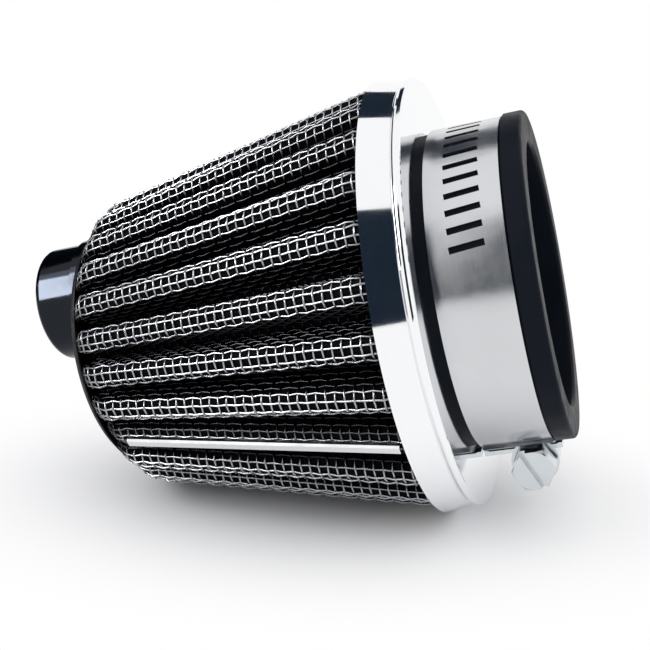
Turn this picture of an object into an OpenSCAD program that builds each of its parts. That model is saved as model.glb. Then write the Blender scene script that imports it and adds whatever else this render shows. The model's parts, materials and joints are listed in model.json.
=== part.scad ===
// Cone air filter with a rubber neck and a worm-drive hose clamp.
// Each piece is drawn round its own axis, Z, which points out of the mouth.
// Height 0 is the outer face of the rim, +X is the top of the filter as it lies,
// and +Y is the side towards the viewer. One last move lays the filter on its side.

/* [Pleats] */
// Number of pleats, counting the one that carries the seam
pleat_count = 26; // [22:1:28]
// Radius of the crests where the cone leaves the rim
crest_big_r = 44.3; // [42:0.1:48]
// Radius of the crests at the small end, before the shoulder
crest_small_r = 32.4; // [30:0.1:34]
// Distance from the rim's face to the start of the shoulder
cone_len = 68; // [55:0.5:90]
// Length of the rounded shoulder at the small end
shoulder_len = 6; // [4:0.5:8]
// How far the crests drop over the shoulder
shoulder_drop = 5; // [2:0.1:6]
// Depth of a pleat, from crest to valley
pleat_depth = 8.6; // [7:0.1:9]
// Half of a crest's width
crest_half = 2.2; // [2:0.05:2.3]
// Half of a valley's width
valley_half = 0.5; // [0.4:0.05:0.6]
// How far a crest is crowned across its width
crest_crown = 0.45; // [0.3:0.05:0.6]

/* [Layers of the pleats] */
// Thickness of each woven wire mesh
mesh_t = 0.5; // [0.4:0.05:0.6]
// Thickness of the oiled filter medium between the meshes
medium_t = 0.9; // [0.6:0.05:1]
// Height of the wires where they cross over each other
weave_rise = 0.35; // [0.2:0.05:0.45]
// Number of weave rows along a crest
weave_rows = 18; // [14:2:24]

/* [Seam] */
// Pleat pitches from the bottom up to the seam, on the viewer's side
seam_pitches = 4.5; // [2.5:1:7.5]
// Width of the folded strip that closes the seam
strip_w = 2.1; // [1.6:0.1:2.6]
// Thickness of the strip
strip_t = 1.2; // [0.9:0.1:1.5]
// Gap left at each end of the strip
strip_end_gap = 1; // [0.5:0.1:2]

/* [Rim] */
// Length of the rim's skirt along the cone
skirt_len = 7.8; // [6:0.1:10]
// Thickness of the rim's sheet metal
rim_t = 0.8; // [0.6:0.1:1.2]
// How much the skirt widens from the face to its edge
skirt_flare = 1.1; // [0.6:0.1:1.4]
// Radius of the rolled bead round the face
bead_r = 0.9; // [0.7:0.05:1.1]

/* [Rubber neck] */
// Radius of the bore that goes over the pipe
bore_r = 27; // [25:0.5:28]
// Radius of the neck under the clamp
neck_r = 32.4; // [31.5:0.1:33]
// Length of the neck from the rim's face to its mouth
neck_len = 19.9; // [18.5:0.1:26]
// Radius of the lip at the mouth
lip_r = 33.5; // [33.2:0.1:34.5]
// Length of the lip
lip_len = 3.9; // [3:0.1:4]
// Thickness of the flange held behind the rim's face
flange_t = 2.2; // [1.6:0.1:3]

/* [Clamp] */
// Width of the clamp band
band_w = 14.2; // [12.7:0.1:14.4]
// Thickness of the band
band_t = 0.65; // [0.5:0.05:0.8]
// Gap between the rim's face and the band
band_gap = 1.3; // [1.3:0.1:1.6]
// Length of a slot across the band
slot_len = 6.6; // [5:0.1:8]
// Width of a slot round the band
slot_w = 1.3; // [1:0.1:1.6]
// Distance from slot to slot round the band
slot_pitch = 3.58; // [3:0.01:4.2]
// Lean of the slots, to suit the thread
slot_lean = 6; // [3:1:8]
// Direction of the first slot, from the top towards the viewer
slots_from = 67; // [40:1:90]
// Length of the screw housing round the band
housing_len = 13; // [11:0.5:15]
// Thickness of the housing's sheet metal
housing_t = 0.9; // [0.7:0.1:1.1]
// How far the screw sits towards the mouth from the middle of the band
screw_shift = 2; // [0:0.1:2.5]
// Radius of the thread's crests
worm_r = 3.8; // [3.2:0.1:4]
// Depth of the thread
thread_depth = 0.8; // [0.7:0.05:1]
// Width of the hexagon head across its flats
head_af = 8; // [7:0.5:9]
// Length of the hexagon head
head_len = 4.8; // [3.5:0.1:6]

/* [Small end] */
// Thickness of the end plate
plate_t = 0.8; // [0.6:0.1:1.2]
// How far the end plate's edge stays inside the crests
plate_inset = 1.8; // [0.4:0.1:2.4]
// Thickness of the potting over the ends of the pleats
potting_t = 1.5; // [1:0.1:3]
// Radius of the end boss
boss_r = 12.7; // [9:0.1:12.8]
// Length of the end boss, with its foot
boss_len = 13.7; // [9:0.1:16]
// Length of the boss's foot, which is a little wider
boss_foot_len = 4.2; // [1:0.1:6]
// Rounding of the boss's outer edge
boss_round = 1.4; // [0.5:0.1:2.5]
// Gap between the boss's foot and the edge of the end plate, which sets it off the axis
boss_edge_gap = 0.6; // [0.4:0.1:12]
// Radius of the screw that holds the boss
boss_screw_r = 2; // [1.5:0.25:2.5]

/* [Hidden] */
$fn = 96;
// Clearance between neighbours, how far a cut reaches past its surface, and a hair's width
clear = 0.05;
overlap = 0.4;
hair = 0.01;

// Angles of the pleats. Two crests stand either side of the bottom, so it lies still.
pitch_a = 360 / pleat_count;
seam_a = 180 - pitch_a * seam_pitches;
layers_t = 2 * mesh_t + medium_t + 2 * clear;
medium_in = mesh_t + clear;
inner_mesh_in = medium_in + medium_t + clear;
// How much a fold's width changes for each unit of depth into the layers
fold_share = 0.77;

// Places across a crest, from one edge to the other
woven_crest = [-1, -1 / 3, 1 / 3, 1];
plain_crest = [-1, 0, 1];

// Places along the axis
face_in = -rim_t;
sheet_under_flange = 1.5;
sheet_big = face_in - flange_t - sheet_under_flange;
sheet_small = -cone_len - shoulder_len;
plate_in = sheet_small - potting_t;
plate_out = plate_in - plate_t;
boss_end = plate_out - boss_len;
band_from = band_gap;
band_mid = band_gap + band_w / 2;
skirt_r = crest_big_r + rim_t + 2 * clear;
rim_face_r = skirt_r - skirt_flare;
flange_r = (neck_r + skirt_inner(face_in)) / 2;
potting_setback = 2;

// The rolled bead: how far it stands out, the groove under it, and the steps down to the
// skirt. The inner corner between face and skirt is cut off, and the potting fills it.
bead_out = 0.3;
bead_groove = 0.25;
bead_step = 0.2;
corner_cut = 0.5;

// The boss's foot, the hole for its screw, and the screw's head and washer
boss_foot_step = 0.7;
boss_foot_chamfer = 0.3;
boss_foot_r = boss_r + boss_foot_step;
boss_foot_end = plate_out - boss_foot_len;
boss_hole = 7;
boss_hole_spare = 0.6;
boss_head_r = 3.8;
boss_head_h = 2.4;
boss_head_taper = 0.8;
cross_len = 4;
cross_w = 0.8;
cross_depth = 1.4;
boss_washer_r = 4.8;
boss_washer_t = 0.8;
washer_room = 0.8;
screw_play = 0.15;

// The end plate's chamfer, and the potting's inner lip: its gap to the pleats and its width
plate_chamfer = 0.5;
lip_gap = 0.6;
lip_w = 2.7;
plate_r = crest_small_r - shoulder_drop - plate_inset;
boss_rise = plate_r - boss_foot_r - boss_edge_gap;

// The clamp's own radii, from the rubber outwards
band_in = neck_r + clear;
tail_in = band_in + band_t + clear;
tail_out = tail_in + band_t;
housing_end = housing_len / 2;
collar_t = 1.1;
head_from = housing_end + clear + collar_t;
// The screw is high enough for its thread, and for its head to clear the curve of the band
worm_axis_r = max(tail_out + worm_r - thread_depth, chord(tail_out, head_from) + head_af / 2)
    + 2 * clear;
collar_r = worm_axis_r - chord(tail_out, housing_end) - clear;
worm_play = 0.2;
housing_r = worm_r + worm_play + housing_t;
worm_z = band_mid + screw_shift;
// The core, and the thinner pin that turns in the housing's far end
core_r = worm_r - thread_depth;
pin_r = core_r - 0.6;
pin_out = 0.8;
// The driver's slot in the head
head_slot_w = 1.2;
head_slot_depth = 1.6;
head_slot_a = 25;
// The legs reach down past the tail to the plain end of the band
leg_bottom = lip_r + 3 * clear;

// Angles round the clamp. The plain end starts just past the housing, the band runs
// over the top and its slotted tail comes back over the plain end, under the screw.
plain_end_past_a = 8;
tail_past_a = 12;
step_gap_a = 1.5;
joggle_a = 1.9;
tail_foot_a = 2.5;
tail_slot_from_a = 2;
plain_margin_a = 4;
tail_margin_a = 8;
housing_half_a = asin(housing_end / band_in);
step_a = 180 + housing_half_a + plain_end_past_a;
tail_a = 180 - housing_half_a - tail_past_a;
slot_a = slot_pitch / (band_in + band_t) * 180 / PI;
slot_count = floor((slots_from + 360 - step_a - plain_margin_a) / slot_a);
tail_slots = floor((step_a - tail_a - tail_margin_a) / slot_a);

// How the filter lies: on the edge of the skirt, and on the last proud wires of the
// two crests next to the bottom at the small end
weave_step = (cone_len - skirt_len) / weave_rows;
rest_z = weave_step - cone_len;
rest_wire_a = pitch_a / 2 - crest_half / 3 / crest_at(rest_z) * 180 / PI;
rest_small_r = (crest_at(rest_z) + weave_rise) * cos(rest_wire_a);
lie_a = atan((skirt_r - rest_small_r) / (-rest_z - skirt_len));
axis_z = skirt_r * cos(lie_a) + skirt_len * sin(lie_a);
boss_reach = (-boss_end - boss_round) * cos(lie_a)
    + (boss_rise + boss_r - boss_round) * sin(lie_a) + boss_round;
lip_round = 0.8;
lip_reach = (neck_len - lip_round) * cos(lie_a)
    + (lip_r - lip_round) * sin(lie_a) + lip_round;
axis_x = (boss_reach - lip_reach) / 2;

// Lays a piece on its side, mouth towards +X
module lie()
    translate([axis_x, 0, axis_z])
        rotate([0, 90 - lie_a, 0])
            rotate([0, 0, 180])
                children();

// Points of a quarter circle, from angle a1 to a2, round [x, y]
function arc(x, y, r, a1, a2, steps = 6) =
    [for (i = [0:steps]) let (a = a1 + (a2 - a1) * i / steps) [x + r * cos(a), y + r * sin(a)]];

// Height of a circle of radius r above its middle, at a distance y to the side
function chord(r, y) = sqrt(r * r - y * y);

// Inner radius of the skirt at a place along the axis
function skirt_inner(z) =
    rim_face_r - rim_t + skirt_flare * (-z) / skirt_len;

// Radius of the crests at a place along the axis, before the layers are set back
function crest_at(z) =
    z > -skirt_len ? skirt_inner(z) - clear :
    z > -cone_len ? crest_big_r + (crest_small_r - crest_big_r)
        * (-skirt_len - z) / (cone_len - skirt_len) :
    let (t = (-cone_len - z) / shoulder_len) crest_small_r - shoulder_drop * t * t;

// Pleats get shallower over the shoulder, where they are gathered in
function depth_at(z) =
    z > -cone_len ? pleat_depth : pleat_depth - shoulder_drop * (-cone_len - z) / shoulder_len;

// The seam's crest is lower by the strip that lies on it
function seam_drop(k, z) =
    k == 0 && z < -skirt_len + hair && z > sheet_small + hair ? strip_t : 0;

// One pleat's points at height z, set back by depth d: a valley's corner, the crest and
// the other corner. Wires that pass over the others stand proud by turns.
function pleat_points(k, z, d, lift, crest) =
    let (
        mid = seam_a + k * pitch_a,
        rc = crest_at(z) - d - seam_drop(k, z),
        rv = crest_at(z) - depth_at(z) - d,
        wc = (crest_half - fold_share * d) / rc * 180 / PI,
        wv = pitch_a / 2 - (valley_half + fold_share * d) / rv * 180 / PI,
        rise = k == 0 || lift == 0 ? 0 : weave_rise
    )
    [
        polar(rv, mid - wv, z),
        for (i = [0:len(crest) - 1])
            let (
                crown = abs(crest[i]) == 1 ? crest_crown : 0,
                proud = (i % 2 == 0) == (lift > 0) ? rise : 0
            )
            polar(rc - crown + proud, mid + wc * crest[i], z),
        polar(rv, mid + wv, z)
    ];
function polar(r, a, z) = [r * cos(a), r * sin(a), z];

// One ring of points at height z
function ring(z, d, lift, crest) =
    [for (k = [0:pleat_count - 1]) for (p = pleat_points(k, z, d, lift, crest)) p];

// Triangles between two rings of n points that start at a and b. Both faces of a sheet
// are split along the same diagonals, so that its twisted flanks keep their thickness.
function outward_faces(a, b, n) =
    [for (i = [0:n - 1]) let (j = (i + 1) % n) for (f = [[a + i, b + i, b + j], [a + i, b + j, a + j]]) f];
function inward_faces(a, b, n) =
    [for (f = outward_faces(a, b, n)) [f[2], f[1], f[0]]];

// A pleated sheet between depths d1 and d2, with its outer rings at zs_out
module pleated_sheet(crest, zs_out, lifts, d1, d2, zs_in) {
    n = pleat_count * (len(crest) + 2);
    count_out = len(zs_out);
    count_in = len(zs_in);
    rings = [
        for (i = [0:count_out - 1]) for (p = ring(zs_out[i], d1, lifts[i], crest)) p,
        for (i = [0:count_in - 1]) for (p = ring(zs_in[i], d2, 0, crest)) p
    ];
    first_in = n * count_out;
    last_in = first_in + n * (count_in - 1);
    outside = [for (i = [0:count_out - 2]) for (f = outward_faces(n * i, n * (i + 1), n)) f];
    inside = [for (i = [0:count_in - 2])
        for (f = inward_faces(first_in + n * i, first_in + n * (i + 1), n)) f];
    big_end = outward_faces(first_in, 0, n);
    small_end = outward_faces(n * (count_out - 1), last_in, n);
    polyhedron(points = rings, faces = concat(outside, inside, big_end, small_end), convexity = 12);
}

// Heights of the rings: in the skirt, at its edge, along the cone and over the shoulder
plain_zs = [
    sheet_big,
    -skirt_len,
    -(skirt_len + cone_len) / 2,
    -cone_len,
    -cone_len - shoulder_len / 2,
    sheet_small
];
weave_zs = [
    sheet_big,
    for (i = [0:weave_rows]) -skirt_len - weave_step * i,
    -cone_len - shoulder_len / 2,
    sheet_small
];
weave_lifts = [
    0, 0,
    for (i = [1:weave_rows - 1]) i % 2 == 0 ? 1 : -1,
    0, 0, 0
];
plain_lifts = [for (z = plain_zs) 0];

// Polished pressed ring that closes the large end: skirt, rolled bead and flat face
module rim_cup() color("lightgray") lie() {
    bead_mid = rim_face_r - bead_r + bead_out;
    skirt_from = -2 * bead_r - bead_step;
    rotate_extrude($fn = 180)
        polygon(concat(
            [[neck_r + clear, face_in], [neck_r + clear, 0]],
            arc(bead_mid, -bead_r, bead_r, 90, -90, 8),
            [[rim_face_r - bead_groove, skirt_from]],
            [[skirt_r, -skirt_len]],
            [[skirt_r - rim_t, -skirt_len]],
            [[skirt_inner(skirt_from - bead_step), skirt_from - bead_step]],
            [[skirt_inner(face_in) - corner_cut, face_in]]
        ));
}

// Rubber neck: flange behind the face, bore for the pipe and a lip that keeps the clamp on
module rubber_neck() color("#1c1c1c") lie()
    rotate_extrude($fn = 180)
        polygon(concat(
            [[bore_r, face_in - flange_t], [flange_r, face_in - flange_t], [flange_r, face_in]],
            [[neck_r, face_in], [neck_r, neck_len - lip_len]],
            [[lip_r, neck_len - lip_len]],
            arc(lip_r - lip_round, neck_len - lip_round, lip_round, 0, 90),
            arc(bore_r + lip_round, neck_len - lip_round, lip_round, 90, 180)
        ));

// Potting that bonds the ends of the pleats into the rim
module large_end_potting() color("#26262a") lie()
    rotate_extrude($fn = 180)
        polygon([
            [bore_r + potting_setback, sheet_big],
            [skirt_inner(sheet_big) - clear, sheet_big],
            [skirt_inner(face_in) - corner_cut - clear, face_in],
            [flange_r, face_in],
            [flange_r, face_in - flange_t],
            [bore_r + potting_setback, face_in - flange_t]
        ]);

// Woven steel mesh on the outside of the pleats
module outer_mesh() color("silver") lie()
    pleated_sheet(woven_crest, weave_zs, weave_lifts, 0, mesh_t, plain_zs);

// Oiled cotton medium
module filter_medium() color("#18181a") lie()
    pleated_sheet(plain_crest, plain_zs, plain_lifts, medium_in, medium_in + medium_t, plain_zs);

// Woven steel mesh that backs the medium on the inside
module inner_mesh() color("gray") lie()
    pleated_sheet(plain_crest, plain_zs, plain_lifts, inner_mesh_in, inner_mesh_in + mesh_t, plain_zs);

// Bright folded strip that closes the seam of the pleat pack
module seam_strip() color("gainsboro") lie() {
    slope = atan((crest_big_r - crest_small_r) / (cone_len - skirt_len));
    run = (cone_len - skirt_len) / cos(slope) - 2 * strip_end_gap;
    fold = strip_t / 3;
    rotate([0, 0, seam_a])
        translate([crest_big_r - strip_t + clear, 0, -skirt_len])
            rotate([0, slope + 180, 0])
                translate([-strip_t, 0, strip_end_gap])
                    linear_extrude(run)
                        polygon([
                            [0, -strip_w / 2 + fold], [0, strip_w / 2 - fold],
                            [fold, strip_w / 2], [strip_t, strip_w / 2],
                            [strip_t, -strip_w / 2], [fold, -strip_w / 2]
                        ]);
}

// Potting over the ends of the pleats at the small end, with room for the boss's washer
module small_end_potting() color("#26262a") lie() {
    edge_round = 0.8 * potting_t;
    outer_r = crest_small_r - shoulder_drop + overlap;
    lip_in_r = crest_small_r - pleat_depth - layers_t - lip_gap;
    lip_up = 0.6 * potting_t;
    inner_r = lip_in_r - lip_w;
    difference() {
        rotate_extrude($fn = 120)
            polygon([
                [inner_r, plate_in], [outer_r - edge_round, plate_in], [outer_r, plate_in + edge_round],
                [outer_r, sheet_small], [lip_in_r, sheet_small],
                [lip_in_r, sheet_small + lip_up], [inner_r, sheet_small + lip_up]
            ]);
        translate([boss_rise, 0, plate_in - overlap])
            cylinder(r = boss_washer_r + washer_room, h = potting_t + lip_up + 2 * overlap, $fn = 48);
    }
}

// Pressed plate that closes the small end, with a hole for the boss's screw
module small_end_plate() color("lightgray") lie()
    difference() {
        rotate_extrude($fn = 120)
            polygon([
                [0, plate_out], [plate_r - plate_chamfer, plate_out],
                [plate_r, plate_out + plate_chamfer],
                [plate_r, plate_in], [0, plate_in]
            ]);
        translate([boss_rise, 0, plate_out - overlap])
            cylinder(r = boss_screw_r + screw_play, h = plate_t + 2 * overlap, $fn = 32);
    }

// Turned and polished boss, with a wider foot and a blind hole for its screw
module end_boss() color("lightgray") lie()
    translate([boss_rise, 0, 0])
        rotate_extrude($fn = 120)
            polygon(concat(
                [[boss_screw_r + clear, plate_out], [boss_foot_r, plate_out]],
                [[boss_foot_r, boss_foot_end], [boss_r, boss_foot_end - boss_foot_chamfer]],
                arc(boss_r - boss_round, boss_end + boss_round, boss_round, 0, -90),
                [[0, boss_end], [0, plate_out - boss_hole], [boss_screw_r + clear, plate_out - boss_hole]]
            ));

// Screw that holds the boss, put in from inside the cone
module boss_screw() color("silver") lie()
    translate([boss_rise, 0, plate_in + boss_washer_t])
        difference() {
            union() {
                cylinder(r1 = boss_head_r, r2 = boss_head_r - boss_head_taper, h = boss_head_h, $fn = 48);
                translate([0, 0, -boss_washer_t - plate_t - boss_hole + boss_hole_spare])
                    cylinder(r = boss_screw_r, h = boss_washer_t + plate_t + boss_hole, $fn = 32);
            }
            for (a = [0, 90])
                rotate([0, 0, a])
                    translate([-cross_len / 2, -cross_w / 2, boss_head_h - cross_depth])
                        cube([cross_len, cross_w, cross_depth + overlap]);
        }

// Washer under that screw's head
module boss_washer() color("silver") lie()
    translate([boss_rise, 0, plate_in])
        difference() {
            cylinder(r = boss_washer_r, h = boss_washer_t, $fn = 48);
            translate([0, 0, -overlap])
                cylinder(r = boss_screw_r + screw_play, h = boss_washer_t + 2 * overlap, $fn = 32);
        }

// A piece of the band's ring, from angle a1 to a2
module band_arc(r1, r2, a1, a2)
    rotate([0, 0, a1])
        rotate_extrude(angle = a2 - a1, $fn = 180)
            translate([r1, band_from])
                square([r2 - r1, band_w]);

// Cuts one slot through the band from radius r outwards
module slot(a, r)
    rotate([0, 0, a])
        translate([r, 0, band_mid])
            rotate([slot_lean, 0, 0])
                translate([0, -slot_w / 2, -slot_len / 2])
                    cube([3 * band_t, slot_w, slot_len]);

// Slotted band whose tail lies over its plain end, under the screw
module clamp_band() color("gainsboro") lie()
    difference() {
        union() {
            band_arc(band_in, band_in + band_t, step_a - 360, step_a - step_gap_a);
            // The joggle where the band climbs over its plain end
            band_arc(band_in, tail_in + band_t / 2, step_a - 360, step_a - 360 + joggle_a);
            band_arc(tail_in, tail_out, tail_a, step_a + tail_foot_a);
        }
        for (i = [0:slot_count])
            slot(slots_from - i * slot_a, band_in - band_t);
        for (i = [1:tail_slots])
            slot(step_a - tail_slot_from_a - i * slot_a, tail_in - 0.8 * clear);
    }

// Moves a piece drawn along Z to lie along the clamp's screw, head towards the viewer
module along_screw()
    translate([-worm_axis_r, 0, worm_z])
        rotate([-90, 0, 0])
            children();

// Pressed housing that holds the screw over the slots
module clamp_housing() color("gainsboro") lie() {
    leg_in = band_w / 2 + clear;
    leg_out = leg_in + housing_t;
    top_x = tail_out + clear;
    difference() {
        union() {
            translate([-top_x - housing_t, -housing_end, band_mid - leg_out])
                cube([housing_t, housing_len, 2 * leg_out]);
            translate([-top_x - housing_t, -housing_end, band_mid - leg_out])
                cube([top_x + housing_t - leg_bottom, housing_len, housing_t]);
            translate([-top_x - housing_t, -housing_end, band_mid + leg_in])
                cube([top_x + housing_t - leg_bottom, housing_len, housing_t]);
            along_screw()
                translate([0, 0, -housing_end])
                    cylinder(r = housing_r, h = housing_len, $fn = 64);
        }
        along_screw()
            translate([0, 0, -housing_end + housing_t])
                cylinder(r = housing_r - housing_t, h = housing_len, $fn = 64);
        along_screw()
            translate([0, 0, -housing_end - overlap])
                cylinder(r = pin_r + 2 * clear, h = housing_len, $fn = 32);
        translate([0, 0, band_mid - leg_in])
            cylinder(r = top_x, h = 2 * leg_in, $fn = 180);
    }
}

// Screw with a collar and a slotted hexagon head
module clamp_screw() color("gainsboro") lie()
    along_screw()
        difference() {
            union() {
                translate([0, 0, -housing_end + housing_t + clear])
                    cylinder(r = core_r, h = housing_len - housing_t + collar_t, $fn = 48);
                translate([0, 0, -housing_end - pin_out])
                    cylinder(r = pin_r, h = pin_out + housing_t + 3 * overlap, $fn = 32);
                translate([0, 0, housing_end + clear])
                    cylinder(r = collar_r, h = collar_t, $fn = 64);
                translate([0, 0, head_from])
                    intersection() {
                        rotate([0, 0, 30])
                            cylinder(r = head_af / sqrt(3), h = head_len, $fn = 6);
                        cylinder(r1 = head_af / 2 + head_len, r2 = head_af / 2, h = head_len, $fn = 64);
                    }
            }
            rotate([0, 0, head_slot_a])
                translate([-head_af, -head_slot_w / 2, head_from + head_len - head_slot_depth])
                    cube([2 * head_af, head_slot_w, head_slot_depth + overlap]);
        }

rim_cup();
rubber_neck();
large_end_potting();
outer_mesh();
filter_medium();
inner_mesh();
seam_strip();
small_end_potting();
small_end_plate();
end_boss();
boss_screw();
boss_washer();
clamp_band();
clamp_housing();
clamp_screw();
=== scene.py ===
# %% [markdown]
# # A cone air filter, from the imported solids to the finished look
# The solids of the filter come from the frame and stay where they are. This lesson gives
# them their finishes, weaves the real wire mesh over the pleats, and replaces the plain
# screw of the hose clamp with one that has its thread. Every length is in metres, and MM
# turns a size in millimetres into metres.

# %% Load the frame
import json
import math

import bpy
from mathutils import Matrix, Vector


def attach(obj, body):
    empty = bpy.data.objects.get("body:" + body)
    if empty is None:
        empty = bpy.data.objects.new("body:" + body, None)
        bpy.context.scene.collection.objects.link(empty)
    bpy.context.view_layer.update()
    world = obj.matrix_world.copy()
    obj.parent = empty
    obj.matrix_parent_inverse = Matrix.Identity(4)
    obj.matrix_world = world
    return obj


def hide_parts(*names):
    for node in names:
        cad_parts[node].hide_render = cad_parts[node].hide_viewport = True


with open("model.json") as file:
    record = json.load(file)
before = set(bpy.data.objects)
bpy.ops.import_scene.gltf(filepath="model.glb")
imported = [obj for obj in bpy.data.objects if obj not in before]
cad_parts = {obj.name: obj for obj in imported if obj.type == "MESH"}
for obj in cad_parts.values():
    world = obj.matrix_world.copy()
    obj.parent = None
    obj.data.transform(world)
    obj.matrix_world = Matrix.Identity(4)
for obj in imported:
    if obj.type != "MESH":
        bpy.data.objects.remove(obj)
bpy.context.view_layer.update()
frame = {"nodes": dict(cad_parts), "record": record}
MM = 0.001

# %% [markdown]
# The filter lies on its side, so nothing on it runs straight along X. Its bore is a mount
# in the record, and that gives the axis of the cone. A place on the filter is then three
# simple numbers: how far along the axis from the rim's face, how far from the axis, and the
# angle round it, from the top towards the viewer.

# %% Places round the axis of the cone
BORE = frame["record"]["mounts"][0]
AXIS = Vector(BORE["axis"]).normalized()
UP = Vector((-AXIS.z, 0, AXIS.x))
SIDE = Vector((0, -1, 0))
# How far the end of the bore stands in front of the rim's face
BORE_END = 19.1
RIM_FACE = Vector(BORE["pos_m"]) - AXIS * BORE_END * MM


def place(along, radius, angle):
    """A point in metres, from sizes in millimetres and an angle in degrees."""
    turn = math.radians(angle)
    out = UP * math.cos(turn) + SIDE * math.sin(turn)
    return RIM_FACE + (AXIS * along + out * radius) * MM


print("the rim's face stands at", [round(v / MM, 2) for v in RIM_FACE], "mm")

# %% [markdown]
# The camera comes first, because every later choice is judged through it. It stands where
# the photograph was taken from: a little above the filter, a little to the right of square
# on, and close, so that the mouth looks larger than the small end. It is a plain
# perspective camera with no depth of field. Its place is a direction and a distance, which
# is easier to adjust than three coordinates, and the boards and the lamp are placed the
# same way later on.

# %% The camera
LOOK_AT = Vector((7.1, -8.5, 39.0)) * MM
CAMERA_TURN, CAMERA_HEIGHT, CAMERA_ROLL = 14.46, 13.78, -0.72
CAMERA_AWAY = 223.8 * MM
LENS = 59.4
NEAREST_SEEN = 10 * MM


def toward(turn, height):
    """A direction from the filter: degrees to the right of the viewer, and upwards."""
    t, h = math.radians(turn), math.radians(height)
    return Vector((math.sin(t) * math.cos(h), -math.cos(t) * math.cos(h), math.sin(h)))


def add_camera():
    back = toward(CAMERA_TURN, CAMERA_HEIGHT)
    bpy.ops.object.camera_add(location=LOOK_AT + back * CAMERA_AWAY)
    camera = bpy.context.object
    camera.rotation_mode = "QUATERNION"
    roll = Matrix.Rotation(math.radians(CAMERA_ROLL), 4, "Z").to_quaternion()
    camera.rotation_quaternion = (-back).to_track_quat("-Z", "Y") @ roll
    camera.data.lens = LENS
    camera.data.clip_start = NEAREST_SEEN
    bpy.context.scene.camera = camera
    return camera


camera = add_camera()
print("the camera stands at", [round(v / MM) for v in camera.location], "mm")

# %% [markdown]
# Several finishes share an effect, so each effect is a node group that is built once. Fine
# scratches and finger marks change how rough a polished surface is. Fine grooves run round
# a rolled or turned part. Each group reads Object coordinates, so the pattern stays on the
# piece, and puts out a single value for the material to use.

# %% Helpers for node groups
def new_group(name, inputs, outputs):
    """A node group with named sockets, and its input and output nodes."""
    group = bpy.data.node_groups.new(name, "ShaderNodeTree")
    for socket_name, kind, default in inputs:
        socket = group.interface.new_socket(name=socket_name, in_out="INPUT", socket_type=kind)
        socket.default_value = default
    for socket_name, kind in outputs:
        group.interface.new_socket(name=socket_name, in_out="OUTPUT", socket_type=kind)
    return group, group.nodes.new("NodeGroupInput"), group.nodes.new("NodeGroupOutput")


def node(tree, kind, **settings):
    """A new node, with its sockets or its own settings filled in by name."""
    made = tree.nodes.new(kind)
    for key, value in settings.items():
        if key in made.inputs:
            made.inputs[key].default_value = value
        else:
            setattr(made, key, value)
    return made


# %% [markdown]
# Handled metal isn't evenly smooth. Finger marks and fine scratches make some patches a
# little duller than others, and a soft noise gives such patches. The group turns the middle
# part of the noise into a roughness between two values, so each finish can have its own.

# %% A group for handling marks
NOISE_LOW, NOISE_HIGH = 0.35, 0.7


def make_marks_group():
    group, source, result = new_group(
        "handling marks",
        [("Scale", "NodeSocketFloat", 120.0), ("Low", "NodeSocketFloat", 0.06),
         ("High", "NodeSocketFloat", 0.2)],
        [("Roughness", "NodeSocketFloat")],
    )
    place_on = node(group, "ShaderNodeTexCoord")
    cloud = node(group, "ShaderNodeTexNoise", Detail=5.0, Roughness=0.6)
    spread = node(group, "ShaderNodeMapRange")
    spread.inputs["From Min"].default_value = NOISE_LOW
    spread.inputs["From Max"].default_value = NOISE_HIGH
    link = group.links.new
    link(place_on.outputs["Object"], cloud.inputs["Vector"])
    link(source.outputs["Scale"], cloud.inputs["Scale"])
    link(cloud.outputs["Fac"], spread.inputs["Value"])
    link(source.outputs["Low"], spread.inputs["To Min"])
    link(source.outputs["High"], spread.inputs["To Max"])
    link(spread.outputs["Result"], result.inputs["Roughness"])
    return group


MARKS = make_marks_group()
print("made the group", MARKS.name)

# %% [markdown]
# Rolled strip and turned rubber carry fine lines that run round the axis. The group turns
# Object coordinates so that the axis of the filter lies along X, then stretches a noise
# round the axis. Its value is the height of the lines.

# %% A group for lines that run round the axis
ACROSS_LINES, ALONG_LINES = 1.0, 0.012


def make_lines_group():
    group, source, result = new_group(
        "lines round the axis",
        [("Fineness", "NodeSocketFloat", 2500.0)],
        [("Height", "NodeSocketFloat")],
    )
    place_on = node(group, "ShaderNodeTexCoord")
    level = node(group, "ShaderNodeMapping", vector_type="POINT")
    level.inputs["Rotation"].default_value = (0, math.atan2(AXIS.z, AXIS.x), 0)
    squeeze = node(group, "ShaderNodeVectorMath", operation="MULTIPLY")
    squeeze.inputs[1].default_value = (ACROSS_LINES, ALONG_LINES, ALONG_LINES)
    lines = node(group, "ShaderNodeTexNoise", Detail=3.0, Roughness=0.7)
    link = group.links.new
    link(place_on.outputs["Object"], level.inputs["Vector"])
    link(level.outputs["Vector"], squeeze.inputs[0])
    link(squeeze.outputs["Vector"], lines.inputs["Vector"])
    link(source.outputs["Fineness"], lines.inputs["Scale"])
    link(lines.outputs["Fac"], result.inputs["Height"])
    return group


LINES = make_lines_group()
print("made the group", LINES.name)
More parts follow.
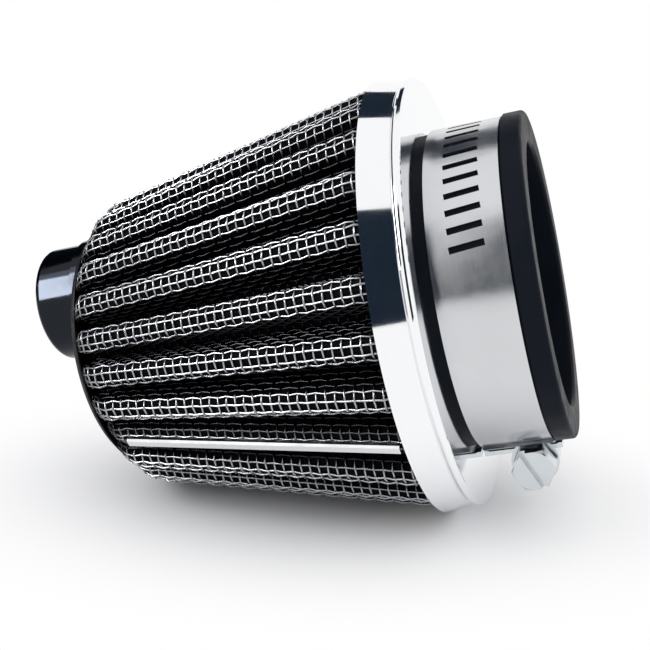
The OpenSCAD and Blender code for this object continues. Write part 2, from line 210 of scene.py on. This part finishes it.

# %% [markdown]
# The wires are bright on the crests and nearly black in the valleys. That darkening is painted
# shade: the shade that falls deep between the pleats, put into the colour of the wire. The group
# measures how deep a point lies under the line of the crests: it turns Object coordinates to the
# axis of the cone, takes the distance from that axis, and compares it with the crests there.

# %% A group for the depth between the pleats
def make_depth_group():
    group, source, result = new_group(
        "depth between the pleats",
        [("Crest At Rim", "NodeSocketFloat", 0.0), ("Taper", "NodeSocketFloat", 0.0),
         ("From", "NodeSocketFloat", 0.0), ("To", "NodeSocketFloat", 0.001)],
        [("Depth", "NodeSocketFloat")],
    )
    place_on = node(group, "ShaderNodeTexCoord")
    level = node(group, "ShaderNodeMapping", vector_type="TEXTURE")
    level.inputs["Location"].default_value = RIM_FACE
    level.inputs["Rotation"].default_value = (0, -math.atan2(AXIS.z, AXIS.x), 0)
    parts = node(group, "ShaderNodeSeparateXYZ")
    around = node(group, "ShaderNodeCombineXYZ")
    radius = node(group, "ShaderNodeVectorMath", operation="LENGTH")
    crest = node(group, "ShaderNodeMath", operation="MULTIPLY_ADD")
    under = node(group, "ShaderNodeMath", operation="SUBTRACT")
    spread = node(group, "ShaderNodeMapRange", interpolation_type="SMOOTHSTEP")
    link = group.links.new
    link(place_on.outputs["Object"], level.inputs["Vector"])
    link(level.outputs["Vector"], parts.inputs["Vector"])
    link(parts.outputs["Y"], around.inputs["Y"])
    link(parts.outputs["Z"], around.inputs["Z"])
    link(around.outputs["Vector"], radius.inputs[0])
    link(parts.outputs["X"], crest.inputs[0])
    link(source.outputs["Taper"], crest.inputs[1])
    link(source.outputs["Crest At Rim"], crest.inputs[2])
    link(crest.outputs["Value"], under.inputs[0])
    link(radius.outputs["Value"], under.inputs[1])
    link(under.outputs["Value"], spread.inputs["Value"])
    link(source.outputs["From"], spread.inputs["From Min"])
    link(source.outputs["To"], spread.inputs["From Max"])
    link(spread.outputs["Result"], result.inputs["Depth"])
    return group


DEPTH = make_depth_group()
print("made the group", DEPTH.name)

# %% [markdown]
# A finish starts as one Principled shader with a plain colour. Handling marks then take over
# its roughness, and lines round the axis bend its normals a little. Both are helpers, so a
# new finish takes two or three lines.

# %% Helpers for finishes
def new_material(name, color, metallic, roughness):
    material = bpy.data.materials.new(name)
    material.use_nodes = True
    shader = material.node_tree.nodes["Principled BSDF"]
    shader.inputs["Base Color"].default_value = (*color, 1)
    shader.inputs["Metallic"].default_value = metallic
    shader.inputs["Roughness"].default_value = roughness
    return material, shader


def with_marks(material, shader, scale, low, high):
    """Patches of the given scale, with a roughness between low and high."""
    tree = material.node_tree
    marks = node(tree, "ShaderNodeGroup", node_tree=MARKS)
    marks.inputs["Scale"].default_value = scale
    marks.inputs["Low"].default_value = low
    marks.inputs["High"].default_value = high
    tree.links.new(marks.outputs["Roughness"], shader.inputs["Roughness"])


def with_lines(material, shader, fineness, strength, distance):
    """Fine lines round the axis, as a bump of the given distance in metres."""
    tree = material.node_tree
    lines = node(tree, "ShaderNodeGroup", node_tree=LINES)
    lines.inputs["Fineness"].default_value = fineness
    bump = node(tree, "ShaderNodeBump", Strength=strength, Distance=distance)
    tree.links.new(lines.outputs["Height"], bump.inputs["Height"])
    tree.links.new(bump.outputs["Normal"], shader.inputs["Normal"])


# %% [markdown]
# The rim is polished like a mirror, so it gets the brightest and smoothest finish. The boss
# is turned and polished too, and looks nearly black: its chrome gets a near-black colour, which
# is a painted dark reflection in place of the dark surroundings that bright chrome would mirror,
# with faint turning lines. The band is rolled strip with a satin surface. The strip over the
# seam is brighter, and the small parts of the clamp are zinc, which is a little blue.

# %% Finishes of metal
chrome, chrome_shader = new_material("polished chrome", (0.93, 0.935, 0.95), 1.0, 0.05)
with_marks(chrome, chrome_shader, 90, 0.05, 0.1)
# The boss's near-black colour is a painted dark reflection, standing in for the dark
# surroundings that bright chrome would mirror
painted_reflection_chrome, painted_reflection_chrome_shader = new_material("chrome with painted dark reflection", (0.02, 0.0225, 0.028), 1.0, 0.1)
with_marks(painted_reflection_chrome, painted_reflection_chrome_shader, 120, 0.07, 0.15)
with_lines(painted_reflection_chrome, painted_reflection_chrome_shader, 1500, 0.1, 0.02 * MM)
band_steel, band_shader = new_material("satin rolled steel", (0.66, 0.67, 0.69), 1.0, 0.24)
with_marks(band_steel, band_shader, 140, 0.18, 0.28)
with_lines(band_steel, band_shader, 2600, 0.12, 0.03 * MM)
strip_metal, strip_shader = new_material("bright strip steel", (0.8, 0.81, 0.82), 1.0, 0.18)
with_marks(strip_metal, strip_shader, 200, 0.14, 0.26)
zinc, zinc_shader = new_material("bright zinc", (0.64, 0.675, 0.7), 1.0, 0.2)
with_marks(zinc, zinc_shader, 260, 0.14, 0.3)
print("made", len(bpy.data.materials), "materials so far")

# %% [markdown]
# The finish of the wire needs to know where the crests are, so the sizes of the pleats come
# before it. They are the same few sizes as those of the solid that the wires stand for. The
# crests taper evenly from the skirt to the shoulder, and then round over to the small end.

# %% The sizes of the pleats
PLEATS = 26
PITCH = 360 / PLEATS
SEAM_PITCHES = 4.5
SEAM_ANGLE = 180 - SEAM_PITCHES * PITCH
CREST_BIG, CREST_SMALL = 44.3, 32.4
SKIRT_LEN, CONE_LEN = 7.8, 68.0
SHOULDER_LEN, SHOULDER_DROP = 6.0, 5.0
PLEAT_DEPTH = 8.6
CREST_HALF, VALLEY_HALF, CREST_CROWN = 2.2, 0.5, 0.45
STRIP_THICK = 1.2
FOLD_SHARE = 0.77
TAPER = (CREST_BIG - CREST_SMALL) / (CONE_LEN - SKIRT_LEN)
CREST_AT_RIM = CREST_BIG + TAPER * SKIRT_LEN
# From 1 mm before the edge of the skirt the wires are tucked in: a step, and then a slope
TUCK_LEN, TUCK, TUCK_SLOPE = 1, 0.2, 0.3


def crest_radius(along):
    if along > -SKIRT_LEN - TUCK_LEN:
        return CREST_BIG - TUCK - TUCK_SLOPE * (along + SKIRT_LEN + TUCK_LEN)
    if along > -CONE_LEN:
        share = (-SKIRT_LEN - along) / (CONE_LEN - SKIRT_LEN)
        return CREST_BIG + (CREST_SMALL - CREST_BIG) * share
    over = (-CONE_LEN - along) / SHOULDER_LEN
    return CREST_SMALL - SHOULDER_DROP * over * over


def pleat_depth(along):
    over = max(0.0, (-CONE_LEN - along) / SHOULDER_LEN)
    return PLEAT_DEPTH - SHOULDER_DROP * over


print("one pleat every", round(PITCH, 2), "degrees, taper", round(TAPER, 4))

# %% [markdown]
# The mesh is drawn steel wire. On the crests it is bright, and further down painted shade turns
# it nearly black, for the shade that falls between the pleats. One material mixes the two
# colours by the depth of each point. The wires on the inside are seen from the mouth only, so
# their painted shade is much weaker.

# %% The finish of the wire
# How deep under the crests, in mm, the painted shade between the pleats begins and is full
OUTER_SHADE_STARTS, OUTER_SHADE_FULL = 0.5, 2.4
INNER_SHADE_STARTS, INNER_SHADE_FULL = 2.0, 8.0


def wire_with_painted_shade(name, bright, deep_tone, shade_starts_at, shade_full_at):
    """Bright wire near the crests, darkened deeper in the pleats by painted shade."""
    material, shader = new_material(name, bright, 1.0, 0.26)
    tree = material.node_tree
    depth = node(tree, "ShaderNodeGroup", node_tree=DEPTH)
    depth.inputs["Crest At Rim"].default_value = CREST_AT_RIM * MM
    depth.inputs["Taper"].default_value = TAPER
    depth.inputs["From"].default_value = shade_starts_at * MM
    depth.inputs["To"].default_value = shade_full_at * MM
    # Painted shade: the colour darkens from the bright colour to the shade colour with depth
    # between the pleats
    color = node(tree, "ShaderNodeMix", data_type="RGBA")
    color.inputs["A"].default_value = (*bright, 1)
    color.inputs["B"].default_value = (*deep_tone, 1)
    tree.links.new(depth.outputs["Depth"], color.inputs["Factor"])
    tree.links.new(color.outputs["Result"], shader.inputs["Base Color"])
    with_marks(material, shader, 600, 0.2, 0.36)
    return material


wire_metal = wire_with_painted_shade(
    "drawn wire", (0.42, 0.43, 0.45), (0.035, 0.035, 0.04), OUTER_SHADE_STARTS, OUTER_SHADE_FULL)
inner_metal = wire_with_painted_shade(
    "inner drawn wire", (0.36, 0.36, 0.38), (0.3, 0.3, 0.32), INNER_SHADE_STARTS, INNER_SHADE_FULL)
print("the wire turns dark between", OUTER_SHADE_STARTS, "and", OUTER_SHADE_FULL, "mm under the crests")

# %% [markdown]
# The neck is moulded rubber, the ends of the pleats are set in a black potting, and the
# medium between the meshes is cotton gauze soaked in oil. All three are nearly black and
# reflect little, so their specular level is low. The end plate is painted black.

# %% Finishes of rubber, potting, gauze and paint
rubber, rubber_shader = new_material("moulded rubber", (0.005, 0.0075, 0.013), 0.0, 0.45)
rubber_shader.inputs["Specular IOR Level"].default_value = 0.07
with_marks(rubber, rubber_shader, 160, 0.38, 0.56)
with_lines(rubber, rubber_shader, 1400, 0.2, 0.05 * MM)
potting, potting_shader = new_material("potting", (0.006, 0.006, 0.007), 0.0, 0.6)
potting_shader.inputs["Specular IOR Level"].default_value = 0.15
with_marks(potting, potting_shader, 300, 0.45, 0.75)
gauze, gauze_shader = new_material("oiled gauze", (0.003, 0.003, 0.004), 0.0, 0.9)
gauze_shader.inputs["Specular IOR Level"].default_value = 0.03
with_marks(gauze, gauze_shader, 900, 0.6, 0.9)
paint, paint_shader = new_material("satin black paint", (0.012, 0.012, 0.013), 0.0, 0.4)
with_marks(paint, paint_shader, 220, 0.3, 0.5)
print("made", len(bpy.data.materials), "materials in all")

# %% [markdown]
# The solids that are right as they are keep their shape and only get a better finish. One
# table says which finish each of them has. The three that are replaced later get theirs too,
# so that the table is complete.

# %% Give every solid its finish
FINISH = {
    "rim_cup": chrome, "end_boss": painted_reflection_chrome, "rubber_neck": rubber,
    "large_end_potting": potting, "small_end_potting": potting,
    "outer_mesh": wire_metal, "inner_mesh": inner_metal, "filter_medium": gauze,
    "seam_strip": strip_metal, "small_end_plate": paint, "boss_screw": zinc,
    "boss_washer": zinc, "clamp_band": band_steel, "clamp_housing": zinc, "clamp_screw": zinc,
}
for name, material in FINISH.items():
    solid = frame["nodes"][name]
    solid.data.materials.clear()
    solid.data.materials.append(material)
print("gave a finish to", len(FINISH), "solids")

# %% [markdown]
# The mesh over the pleats is woven from round wire. Each wire passes over one crossing and
# under the next, all the way down the flanks of every pleat. A grid with a Wireframe
# modifier would give flat crossings, so each wire is a curve instead, with a round bevel,
# as wire is drawn. First comes the path that a wire takes across one pleat: over the rounded
# crest, down the flank and along the valley.

# %% The path of a wire across one pleat
OUTER_SET_BACK, INNER_SET_BACK = 0.25, 1.75
# The crest is rounded: at this share of its half width it has dropped by this much
CROWN_AT, CROWN_DIP = 0.45, 0.07
VALLEY_ROUND = 0.15


def pleat_path(along, set_back, lowered):
    """Corners of one pleat as angle and radius, from one valley's middle to the next."""
    crest = crest_radius(along) - set_back - lowered
    valley = crest_radius(along) - pleat_depth(along) - set_back
    crest_a = math.degrees((CREST_HALF - FOLD_SHARE * set_back) / crest)
    valley_a = PITCH / 2 - math.degrees((VALLEY_HALF + FOLD_SHARE * set_back) / valley)
    half = [(crest_a * CROWN_AT, crest - CROWN_DIP), (crest_a, crest - CREST_CROWN),
            (valley_a, valley + VALLEY_ROUND), (PITCH / 2, valley)]
    return [(-a, r) for a, r in reversed(half)] + [(0.0, crest)] + half


def spread_along(corners, count):
    """Evenly spaced points along a path of corners, with the outward normal of each."""
    flat = [(math.radians(a) * r, r, a) for a, r in corners]
    steps = [math.hypot(q[0] - p[0], q[1] - p[1]) for p, q in zip(flat, flat[1:])]
    total = sum(steps)
    found = []
    for i in range(count):
        left = total * (i + 0.5) / count
        k = 0
        while left > steps[k] and k < len(steps) - 1:
            left -= steps[k]
            k += 1
        share = left / steps[k]
        p, q = flat[k], flat[k + 1]
        normal = (-(q[1] - p[1]) / steps[k], (q[0] - p[0]) / steps[k])
        found.append((p[2] + (q[2] - p[2]) * share, p[1] + (q[1] - p[1]) * share, normal))
    return found


path = pleat_path(-SKIRT_LEN, OUTER_SET_BACK, 0)
print("a pleat's path has", len(path), "corners")

# %% [markdown]
# Rows of crossings are set out along the cone at the pitch of the weave, measured in the
# photograph by counting cells along a crest. Then every crossing gets a point, once for the
# wire that runs lengthwise and once for the wire that runs crosswise, and the two points
# stand apart by a little less than the thickness of a wire, so that the wires press on each
# other. The pleat with the seam is lower, to make room for its strip.

# %% Rows of crossings
WEAVE_PITCH = 1.91
WIRE_R = 0.2
WEAVE_RISE = 0.17
WIRES_A_PLEAT = 12
FIRST_ROW, LAST_ROW = -7.2, -73.8
SLOPE_STEP = 0.2


def rows_along(first, last):
    """Places along the axis that are one pitch apart, measured on the slope of the crests."""
    rows, along = [], first
    while along > last:
        rows.append(along)
        slope = (crest_radius(along) - crest_radius(along - SLOPE_STEP)) / SLOPE_STEP
        along -= WEAVE_PITCH / math.hypot(1, slope)
    return rows + [last]


def crossing_points(set_back, rows):
    """For each row, a list of (angle, radius, normal, along) round the whole filter."""
    grid = []
    for along in rows:
        ring = []
        for k in range(PLEATS):
            lowered = STRIP_THICK if k == 0 and along < -SKIRT_LEN else 0.0
            middle = SEAM_ANGLE + k * PITCH
            corners = pleat_path(along, set_back, lowered)
            for angle, radius, normal in spread_along(corners, WIRES_A_PLEAT):
                ring.append((middle + angle, radius, normal, along))
        grid.append(ring)
    return grid


def crossing(entry, lift):
    """The point of a crossing, moved out along the sheet's normal by lift millimetres."""
    angle, radius, normal, along = entry
    shifted = angle + math.degrees(normal[0] * lift / radius)
    return place(along, radius + normal[1] * lift, shifted)


weave_rows = rows_along(FIRST_ROW, LAST_ROW)
print(len(weave_rows), "rows and", PLEATS * WIRES_A_PLEAT, "wires round the cone")

# %% [markdown]
# A wire becomes a curve through its crossings, with a round bevel. A curve is the natural
# way to model wire: its thickness is one number, and the path stays easy to read. All the
# lengthwise wires are one piece and all the crosswise wires another, so that neither grows
# too heavy. The wires on the inside are hardly seen, so they get fewer sides.

# %% A piece of many wires
def wires(name, lines, closed, sides_extra):
    """One mesh of round wires, from a list of lines of points."""
    curve = bpy.data.curves.new(name, "CURVE")
    curve.dimensions = "3D"
    curve.bevel_depth = WIRE_R * MM
    curve.bevel_resolution = sides_extra
    for line in lines:
        spline = curve.splines.new("POLY")
        spline.points.add(len(line) - 1)
        for point, co in zip(spline.points, line):
            point.co = (*co, 1)
        spline.use_cyclic_u = closed
    piece = bpy.data.objects.new(name, curve)
    bpy.context.scene.collection.objects.link(piece)
    bpy.ops.object.select_all(action="DESELECT")
    piece.select_set(True)
    bpy.context.view_layer.objects.active = piece
    bpy.ops.object.convert(target="MESH")
    piece = bpy.context.object
    bpy.ops.object.shade_smooth()
    return piece


def weave(name, set_back, sides_extra):
    """The lengthwise and the crosswise wires of one sheet, over and under in turn."""
    grid = crossing_points(set_back, weave_rows)
    count = len(grid[0])

    def rise(i, k):
        return -WEAVE_RISE if (i + k) % 2 else WEAVE_RISE

    lengthwise = [[crossing(row[i], rise(i, k)) for k, row in enumerate(grid)]
                  for i in range(count)]
    crosswise = [[crossing(row[i], -rise(i, k)) for i in range(count)]
                 for k, row in enumerate(grid)]
    return (wires(name + "_lengthwise", lengthwise, False, sides_extra),
            wires(name + "_crosswise", crosswise, True, sides_extra))


# %% [markdown]
# Both sheets are woven on the same rows. The outer one lies over the medium and the inner one
# behind it. Each pair of pieces replaces the plain sheet that stands for it in the solids,
# which stays where it is for the physics.

# %% Weave the two sheets
outer_wires = weave("outer_wires", OUTER_SET_BACK, 1)
inner_wires = weave("inner_wires", INNER_SET_BACK, 0)
for pieces, solid, material in (
        (outer_wires, "outer_mesh", wire_metal), (inner_wires, "inner_mesh", inner_metal)):
    for piece in pieces:
        piece.data.materials.append(material)
        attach(piece, "root")
        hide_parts(solid)
        triangles = sum(len(p.vertices) - 2 for p in piece.data.polygons)
        print(piece.name, "has", triangles, "triangles")

# %% [markdown]
# The worm screw of the clamp is cut in one piece: a threaded core, a pin that runs in the far
# end of the housing, a collar and a slotted hexagon head. The plain parts are primitives
# joined with Boolean modifiers. The thread is a ridge wound round the core, and it's trimmed
# where the band passes under it. The screw is modelled upright, along Z, from sizes that
# count from its middle, and is seated in the clamp at the end.

# %% Sizes of the screw
SCREW_RADIUS, SCREW_ALONG, TAIL_OUT, BAND_CLEAR = 37.02, 10.4, 33.8, 0.05
CORE_R, CORE_FROM, CORE_END = 3.0, -5.55, 8.2
THREAD_R, THREAD_PITCH, THREAD_FROM, THREAD_END = 3.75, 3.58, -4.4, 5.4
# Half the thread's width at its root and at its top, and how far it is sunk in the core
ROOT_HALF, TOP_HALF, THREAD_SUNK = 0.95, 0.35, 0.1
PIN_R, PIN_FROM, PIN_END = CORE_R - 0.6, -7.3, -5.0
HEAD_AF, HEAD_FROM, HEAD_END = 8.0, 7.65, 12.45
COLLAR_R, COLLAR_FROM, COLLAR_END = 3.8, HEAD_FROM - 1.1, HEAD_FROM + 0.4
SLOT_TURN, SLOT_LONG, SLOT_WIDE, SLOT_DEEP = 25, 16, 1.2, 1.6
NECK_REACH = 15
OVERLAP = 0.001

print("the screw runs from", PIN_FROM, "to", HEAD_END, "mm")

# %% Helpers for the screw
def solid_bar(radius, first, last, vertices=48, top=None):
    """A round bar, or a tapered one, along Z between two heights, in millimetres."""
    bpy.ops.object.select_all(action="DESELECT")
    bpy.ops.mesh.primitive_cone_add(
        vertices=vertices, radius1=radius * MM, radius2=(radius if top is None else top) * MM,
        depth=(last - first) * MM, location=(0, 0, (first + last) / 2 * MM))
    bpy.ops.object.transform_apply(location=True, rotation=False, scale=False)
    return bpy.context.object


def combine(body, tool, operation):
    """Applies one Boolean step to the body and removes the tool."""
    step = body.modifiers.new(operation.lower(), "BOOLEAN")
    step.operation, step.solver, step.object = operation, "EXACT", tool
    bpy.ops.object.select_all(action="DESELECT")
    bpy.context.view_layer.objects.active = body
    bpy.ops.object.modifier_apply(modifier=step.name)
    bpy.data.objects.remove(tool, do_unlink=True)


def thread_ridge(first, last, steps_a_turn=24):
    """A closed ridge wound round Z, higher in the middle of its width."""
    root_r = CORE_R - THREAD_SUNK
    profile = [(root_r, -ROOT_HALF), (THREAD_R, -TOP_HALF),
               (THREAD_R, TOP_HALF), (root_r, ROOT_HALF)]
    count = int((last - first) / THREAD_PITCH * steps_a_turn)
    points, faces = [], []
    for i in range(count + 1):
        angle = math.tau * i / steps_a_turn
        rise = first + THREAD_PITCH * i / steps_a_turn
        points += [(r * math.cos(angle) * MM, r * math.sin(angle) * MM, (rise + z) * MM)
                   for r, z in profile]
    for i in range(count):
        for k in range(4):
            a, b = 4 * i + k, 4 * i + (k + 1) % 4
            faces.append((a, a + 4, b + 4, b))
    faces += [(0, 1, 2, 3), (4 * count + 3, 4 * count + 2, 4 * count + 1, 4 * count)]
    mesh = bpy.data.meshes.new("thread")
    mesh.from_pydata(points, [], faces)
    ridge = bpy.data.objects.new("thread", mesh)
    bpy.context.collection.objects.link(ridge)
    return ridge


# %% [markdown]
# The band is round, so it comes closest to the screw at the screw's middle, and a real thread
# runs in its slots there. Here a bar as thick as the neck with its band, laid across the
# screw, takes away the part of the thread that would reach into the band. The core, the
# thread, the pin and the collar then become one solid.

# %% The core with its thread, the pin and the collar
screw = solid_bar(CORE_R, CORE_FROM, CORE_END)
screw.name = "clamp_screw_threaded"
ridge = thread_ridge(THREAD_FROM, THREAD_END)
around_neck = solid_bar(TAIL_OUT + BAND_CLEAR, -NECK_REACH, NECK_REACH, 180)
laid_across = Matrix.Rotation(math.pi / 2, 4, "X")
around_neck.data.transform(Matrix.Translation((-SCREW_RADIUS * MM, 0, 0)) @ laid_across)
combine(ridge, around_neck, "DIFFERENCE")
combine(screw, ridge, "UNION")
combine(screw, solid_bar(PIN_R, PIN_FROM, PIN_END, 32), "UNION")
combine(screw, solid_bar(COLLAR_R, COLLAR_FROM, COLLAR_END, 64), "UNION")
print("the core, thread, pin and collar have", len(screw.data.polygons), "faces")

# %% [markdown]
# A bar with six sides gives the hexagon, and its corners are turned off at 45 degrees, as on
# a real head, by keeping only what lies inside a cone. A thin block cuts the driver's slot.

# %% The hexagon head
head = solid_bar(HEAD_AF / math.sqrt(3), HEAD_FROM, HEAD_END, 6)
corner_cone = solid_bar(
    HEAD_AF / 2 + HEAD_END - HEAD_FROM, HEAD_FROM, HEAD_END + OVERLAP, 64, HEAD_AF / 2)
combine(head, corner_cone, "INTERSECT")
combine(screw, head, "UNION")
bpy.ops.mesh.primitive_cube_add(size=1)
slot = bpy.context.object
slot.data.transform(
    Matrix.Rotation(math.radians(SLOT_TURN), 4, "Z")
    @ Matrix.Translation((0, 0, HEAD_END * MM))
    @ Matrix.Diagonal((SLOT_LONG * MM, SLOT_WIDE * MM, 2 * SLOT_DEEP * MM, 1)))
combine(screw, slot, "DIFFERENCE")
print("the head is", HEAD_AF, "mm across its flats")

# %% [markdown]
# The finished screw is turned and moved into the clamp by its mesh, so that the object itself
# stays at the origin. It lies across the bottom of the neck's band with its head towards the
# viewer, and it replaces the plain screw of the solids.

# %% Seat the screw in the clamp
seat = Matrix((-UP, AXIS, SIDE)).transposed().to_4x4()
seat.translation = place(SCREW_ALONG, SCREW_RADIUS, 180)
screw.data.transform(seat)
screw.data.materials.clear()
screw.data.materials.append(zinc)
bpy.context.view_layer.objects.active = screw
screw.select_set(True)
bpy.ops.object.shade_smooth_by_angle(angle=math.radians(30))
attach(screw, "root")
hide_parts("clamp_screw")
print("the screw is", round(max(screw.dimensions) / MM, 1), "mm long")

# %% [markdown]
# The filter stands on a plain white floor in a soft studio. Near the filter the paper of the
# floor takes its shadow. Further out, and for rays from the camera or from a polished
# surface, the floor shines plain white, so that it has no visible edge. Light Path tells
# those rays from the ones that light the filter.

# %% Rays that look at the surroundings
def seen_rays(tree):
    """A value of 1 for rays from the camera, from polished metal or through glass."""
    rays = node(tree, "ShaderNodeLightPath")
    direct = node(tree, "ShaderNodeMath", operation="MAXIMUM")
    any_of = node(tree, "ShaderNodeMath", operation="MAXIMUM")
    tree.links.new(rays.outputs["Is Camera Ray"], direct.inputs[0])
    tree.links.new(rays.outputs["Is Glossy Ray"], direct.inputs[1])
    tree.links.new(direct.outputs["Value"], any_of.inputs[0])
    tree.links.new(rays.outputs["Is Transmission Ray"], any_of.inputs[1])
    return any_of.outputs["Value"]


# %% Floor
FLOOR_WIDE = 6
# Two ovals round the middle of the filter. The shadow is whole inside the small one, which
# lies under the filter, and is gone outside the large one.
OVAL_SHIFT, OVAL_SQUEEZE = 0.003, 0.6
SHADOW_WHOLE, SHADOW_GONE = 0.015, 0.07


def make_floor_paper():
    material, shader = new_material("white floor", (0.96, 0.965, 0.985), 0.0, 0.9)
    shader.inputs["Specular IOR Level"].default_value = 0.0
    tree = material.node_tree
    white = node(tree, "ShaderNodeEmission", Strength=1.0)
    place_on = node(tree, "ShaderNodeTexCoord")
    oval = node(tree, "ShaderNodeMapping")
    oval.inputs["Location"].default_value = (OVAL_SHIFT, 0, 0)
    oval.inputs["Scale"].default_value = (OVAL_SQUEEZE, 1, 1)
    away = node(tree, "ShaderNodeVectorMath", operation="LENGTH")
    far = node(tree, "ShaderNodeMapRange", interpolation_type="SMOOTHSTEP")
    far.inputs["From Min"].default_value = SHADOW_WHOLE
    far.inputs["From Max"].default_value = SHADOW_GONE
    both = node(tree, "ShaderNodeMath", operation="MULTIPLY")
    mix = node(tree, "ShaderNodeMixShader")
    link = tree.links.new
    link(place_on.outputs["Object"], oval.inputs["Vector"])
    link(oval.outputs["Vector"], away.inputs[0])
    link(away.outputs["Value"], far.inputs["Value"])
    link(far.outputs["Result"], both.inputs[0])
    link(seen_rays(tree), both.inputs[1])
    link(both.outputs["Value"], mix.inputs["Fac"])
    link(shader.outputs["BSDF"], mix.inputs[1])
    link(white.outputs["Emission"], mix.inputs[2])
    link(mix.outputs["Shader"], tree.nodes["Material Output"].inputs["Surface"])
    return material


bpy.ops.object.select_all(action="DESELECT")
bpy.ops.mesh.primitive_plane_add(size=FLOOR_WIDE, location=(0, 0, 0))
floor = bpy.context.object
floor.name = "floor"
floor.data.materials.append(make_floor_paper())
print("the floor is", round(floor.dimensions.x), "m wide")

# %% [markdown]
# The world is an even white dome. It lights the filter a little below full white, so that a
# pale colour doesn't clip, and it shows plain white to the camera and in reflections.

# %% The world
WORLD_LEVEL = 0.95


def make_world():
    world = bpy.data.worlds.new("soft studio")
    world.use_nodes = True
    tree = world.node_tree
    tree.nodes.clear()
    plain = node(tree, "ShaderNodeBackground", Strength=WORLD_LEVEL)
    shown = node(tree, "ShaderNodeBackground", Strength=1.0)
    for light in (plain, shown):
        light.inputs["Color"].default_value = (1, 1, 1, 1)
    mix = node(tree, "ShaderNodeMixShader")
    result = node(tree, "ShaderNodeOutputWorld")
    tree.links.new(seen_rays(tree), mix.inputs["Fac"])
    tree.links.new(plain.outputs["Background"], mix.inputs[1])
    tree.links.new(shown.outputs["Background"], mix.inputs[2])
    tree.links.new(mix.outputs["Shader"], result.inputs["Surface"])
    bpy.context.scene.world = world


make_world()
print("the world lights at", WORLD_LEVEL)

# %% [markdown]
# White paper all round would leave polished chrome with nothing to show. A photographer
# stands dark boards round such an object, outside the picture, and they draw the dark bands
# that make it read as chrome. Here they are planes that only reflections can see. Each is
# placed by the direction in which a point of the filter sees it.

# %% Dark boards
BOARD_COLOR = (0.012, 0.02, 0.032)
# The points of the filter that the boards are set out from, in millimetres
SKIRT_POINT, BOSS_POINT = (28, -38, 50), (-55, -10, 42)


def seen_in_reflections_only(board):
    """Gives the board its dark paper and hides it from all but polished surfaces."""
    paper, shader = new_material(board.name + " paper", BOARD_COLOR, 0.0, 0.9)
    shader.inputs["Specular IOR Level"].default_value = 0.0
    board.data.materials.append(paper)
    board.visible_camera = False
    board.visible_diffuse = False
    board.visible_shadow = False
    board.visible_transmission = False
    return shader


def dark_board(name, from_point, turn, height, away, width, tall):
    """A board that faces a point of the filter, with its sizes in metres."""
    bpy.ops.object.select_all(action="DESELECT")
    bpy.ops.mesh.primitive_plane_add(size=1)
    board = bpy.context.object
    board.name = name
    look = toward(turn, height)
    turned = look.to_track_quat("-Z", "Y").to_matrix().to_4x4()
    size = Matrix.Diagonal((width, tall, 1, 1))
    moved = Matrix.Translation(Vector(from_point) * MM + look * away)
    board.data.transform(moved @ turned @ size)
    seen_in_reflections_only(board)


dark_board("board_by_camera", SKIRT_POINT, 2, 30, 0.5, 0.3, 0.55)
dark_board("board_behind", SKIRT_POINT, -168, 49, 0.5, 0.34, 0.24)
dark_board("board_left", BOSS_POINT, -112, 20, 0.45, 0.62, 0.5)

# %% [markdown]
# A soft box on the left lights the filter from the side. The one bright band on the dark
# boss is the reflection of a long slanted card, which is much brighter than a white wall, and
# which nothing but reflections can see. Last, the Standard view shows colours as they are.

# %% The soft box and the bright card
def soft_box(name, from_point, turn, height, away, width, tall, radiance):
    """A rectangular lamp; its power follows from its size and how bright its face is."""
    look = toward(turn, height)
    bpy.ops.object.light_add(type="AREA", location=Vector(from_point) * MM + look * away)
    lamp = bpy.context.object
    lamp.name = name
    lamp.data.shape = "RECTANGLE"
    lamp.data.size, lamp.data.size_y = width, tall
    lamp.data.energy = radiance * math.pi * width * tall
    lamp.rotation_mode = "QUATERNION"
    lamp.rotation_quaternion = look.to_track_quat("Z", "Y")


def bright_strip(name, from_point, start, end, away, width, radiance):
    """A bright slanted card, seen only by reflections, from one direction to another."""
    first, last = toward(*start) * away, toward(*end) * away
    middle, along = (first + last) / 2, last - first
    across = along.cross(middle).normalized() * width
    corners = [first - across / 2, last - across / 2, last + across / 2, first + across / 2]
    mesh = bpy.data.meshes.new(name)
    mesh.from_pydata([Vector(from_point) * MM + c for c in corners], [], [(0, 1, 2, 3)])
    strip = bpy.data.objects.new(name, mesh)
    bpy.context.scene.collection.objects.link(strip)
    shader = seen_in_reflections_only(strip)
    shader.inputs["Emission Color"].default_value = (1, 1, 1, 1)
    shader.inputs["Emission Strength"].default_value = radiance


soft_box("soft_box", BOSS_POINT, -51, 40, 0.5, 0.3, 0.22, 2.5)
bright_strip("bright_strip", BOSS_POINT, (-64, 41), (-36, 15), 0.42, 0.07, 30)
bpy.context.scene.view_settings.view_transform = "Standard"
